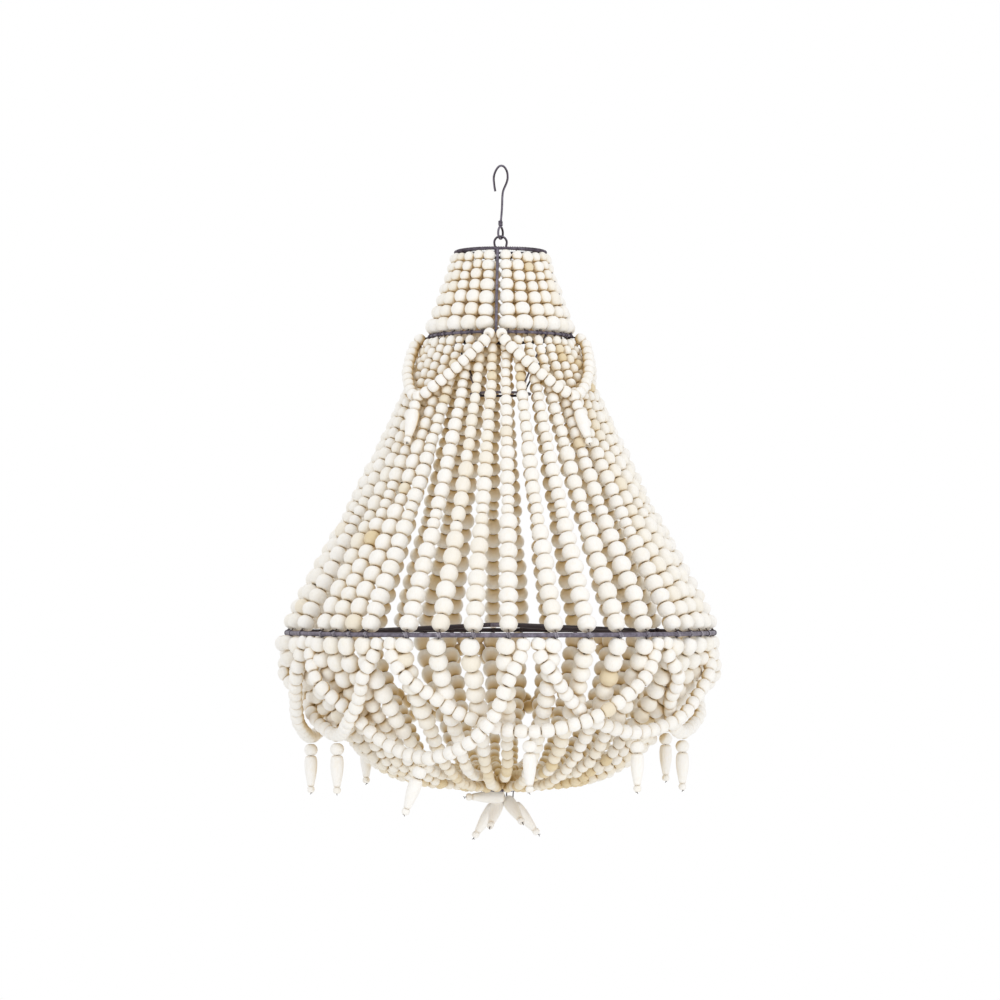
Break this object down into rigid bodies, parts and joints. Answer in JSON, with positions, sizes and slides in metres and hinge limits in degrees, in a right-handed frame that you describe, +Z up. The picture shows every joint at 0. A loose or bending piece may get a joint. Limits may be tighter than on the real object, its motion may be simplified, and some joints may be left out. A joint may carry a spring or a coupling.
{
  "type": "beaded chandelier",
  "caption": "Hanging chandelier of wire rings and threaded wooden beads: crown, flared body and bowl, with draped swags, turned hanging drops and a finial of drops.",
  "frame": {"origin": "inside top of the hook's bend, where it bears on the ceiling hook", "axes": "+Z up along the hanging axis, -Y towards the viewer of the picture, +X to that viewer's right"},
  "size_m": [0.6024, 0.6072, 0.9147],
  "materials": {
    "dark_steel": "satin, dark graphite",
    "bead_wood": "matt, whitewashed turned wood"
  },
  "bodies": {
    "hook": {"hanging_hook": "dark_steel"},
    "frame": {"crown_frame": "dark_steel", "neck_ring": "dark_steel", "lamp_ring": "dark_steel", "waist_ring": "dark_steel", "waist_spider": "dark_steel", "hub_ring": "dark_steel", "crown_strands_1": "bead_wood", "crown_strands_2": "bead_wood", "crown_strands_3": "bead_wood", "crown_strands_4": "bead_wood", "body_strands_1": "bead_wood", "body_strands_2": "bead_wood", "body_strands_3": "bead_wood", "body_strands_4": "bead_wood", "body_strands_5": "bead_wood", "body_strands_6": "bead_wood", "body_strands_7": "bead_wood", "body_strands_8": "bead_wood", "body_strands_9": "bead_wood", "body_strands_10": "bead_wood", "bowl_strands_1": "bead_wood", "bowl_strands_2": "bead_wood", "bowl_strands_3": "bead_wood", "bowl_strands_4": "bead_wood", "bowl_strands_5": "bead_wood", "waist_swag_1": "bead_wood", "waist_swag_2": "bead_wood", "waist_swag_3": "bead_wood", "waist_swag_4": "bead_wood", "waist_swag_5": "bead_wood", "waist_swag_6": "bead_wood", "waist_swag_7": "bead_wood", "waist_swag_8": "bead_wood", "waist_swag_9": "bead_wood", "waist_swag_10": "bead_wood", "neck_swag_1": "bead_wood", "neck_swag_2": "bead_wood", "neck_swag_3": "bead_wood", "neck_swag_4": "bead_wood", "finial_drop_1": "bead_wood", "finial_drop_2": "bead_wood", "finial_drop_3": "bead_wood", "finial_drop_4": "bead_wood", "finial_drop_5": "bead_wood"},
    "waist_pendant_1": {"waist_pendant_1": "bead_wood"},
    "waist_pendant_2": {"waist_pendant_2": "bead_wood"},
    "waist_pendant_3": {"waist_pendant_3": "bead_wood"},
    "waist_pendant_4": {"waist_pendant_4": "bead_wood"},
    "waist_pendant_5": {"waist_pendant_5": "bead_wood"},
    "waist_pendant_6": {"waist_pendant_6": "bead_wood"},
    "waist_pendant_7": {"waist_pendant_7": "bead_wood"},
    "waist_pendant_8": {"waist_pendant_8": "bead_wood"},
    "waist_pendant_9": {"waist_pendant_9": "bead_wood"},
    "waist_pendant_10": {"waist_pendant_10": "bead_wood"},
    "neck_pendant_1": {"neck_pendant_1": "bead_wood"},
    "neck_pendant_2": {"neck_pendant_2": "bead_wood"},
    "neck_pendant_3": {"neck_pendant_3": "bead_wood"},
    "neck_pendant_4": {"neck_pendant_4": "bead_wood"}
  },
  "joints": [
    {"name": "frame_swing", "type": "hinge", "parent": "hook", "child": "frame", "pos_m": [0, 0, -0.0945], "axis": [1, 0, 0], "range_deg": [-45, 45]},
    {"name": "waist_pendant_1_swing", "type": "hinge", "parent": "frame", "child": "waist_pendant_1", "pos_m": [0.03687, -0.26238, -0.75501], "axis": [-0.9903, -0.1392, 0], "range_deg": [-40, 40]},
    {"name": "waist_pendant_2_swing", "type": "hinge", "parent": "frame", "child": "waist_pendant_2", "pos_m": [0.17705, -0.18335, -0.75907], "axis": [-0.7193, -0.6947, 0], "range_deg": [-40, 40]},
    {"name": "waist_pendant_3_swing", "type": "hinge", "parent": "frame", "child": "waist_pendant_3", "pos_m": [0.24335, -0.04291, -0.76498], "axis": [-0.1736, -0.9848, 0], "range_deg": [-40, 40]},
    {"name": "waist_pendant_4_swing", "type": "hinge", "parent": "frame", "child": "waist_pendant_4", "pos_m": [0.22909, 0.11173, -0.76202], "axis": [0.4384, -0.8988, 0], "range_deg": [-40, 40]},
    {"name": "waist_pendant_5_swing", "type": "hinge", "parent": "frame", "child": "waist_pendant_5", "pos_m": [0.11966, 0.22505, -0.76006], "axis": [0.8829, -0.4695, 0], "range_deg": [-40, 40]},
    {"name": "waist_pendant_6_swing", "type": "hinge", "parent": "frame", "child": "waist_pendant_6", "pos_m": [-0.03547, 0.2524, -0.76202], "axis": [0.9903, 0.1392, 0], "range_deg": [-40, 40]},
    {"name": "waist_pendant_7_swing", "type": "hinge", "parent": "frame", "child": "waist_pendant_7", "pos_m": [-0.18966, 0.1964, -0.77002], "axis": [0.7193, 0.6947, 0], "range_deg": [-40, 40]},
    {"name": "waist_pendant_8_swing", "type": "hinge", "parent": "frame", "child": "waist_pendant_8", "pos_m": [-0.25895, 0.04566, -0.77396], "axis": [0.1736, 0.9848, 0], "range_deg": [-40, 40]},
    {"name": "waist_pendant_9_swing", "type": "hinge", "parent": "frame", "child": "waist_pendant_9", "pos_m": [-0.21562, -0.10517, -0.76596], "axis": [-0.4384, 0.8988, 0], "range_deg": [-40, 40]},
    {"name": "waist_pendant_10_swing", "type": "hinge", "parent": "frame", "child": "waist_pendant_10", "pos_m": [-0.09733, -0.22775, -0.78983], "axis": [-0.9195, 0.393, 0], "range_deg": [-40, 40]},
    {"name": "neck_pendant_1_swing", "type": "hinge", "parent": "frame", "child": "neck_pendant_1", "pos_m": [0.09718, -0.11023, -0.318], "axis": [-0.7501, -0.6613, 0], "range_deg": [0, 60]},
    {"name": "neck_pendant_2_swing", "type": "hinge", "parent": "frame", "child": "neck_pendant_2", "pos_m": [0.11023, 0.09718, -0.318], "axis": [0.6613, -0.7501, 0], "range_deg": [0, 60]},
    {"name": "neck_pendant_3_swing", "type": "hinge", "parent": "frame", "child": "neck_pendant_3", "pos_m": [-0.09718, 0.11023, -0.318], "axis": [0.7501, 0.6613, 0], "range_deg": [0, 60]},
    {"name": "neck_pendant_4_swing", "type": "hinge", "parent": "frame", "child": "neck_pendant_4", "pos_m": [-0.11023, -0.09718, -0.318], "axis": [-0.6613, 0.7501, 0], "range_deg": [0, 60]}
  ]
}
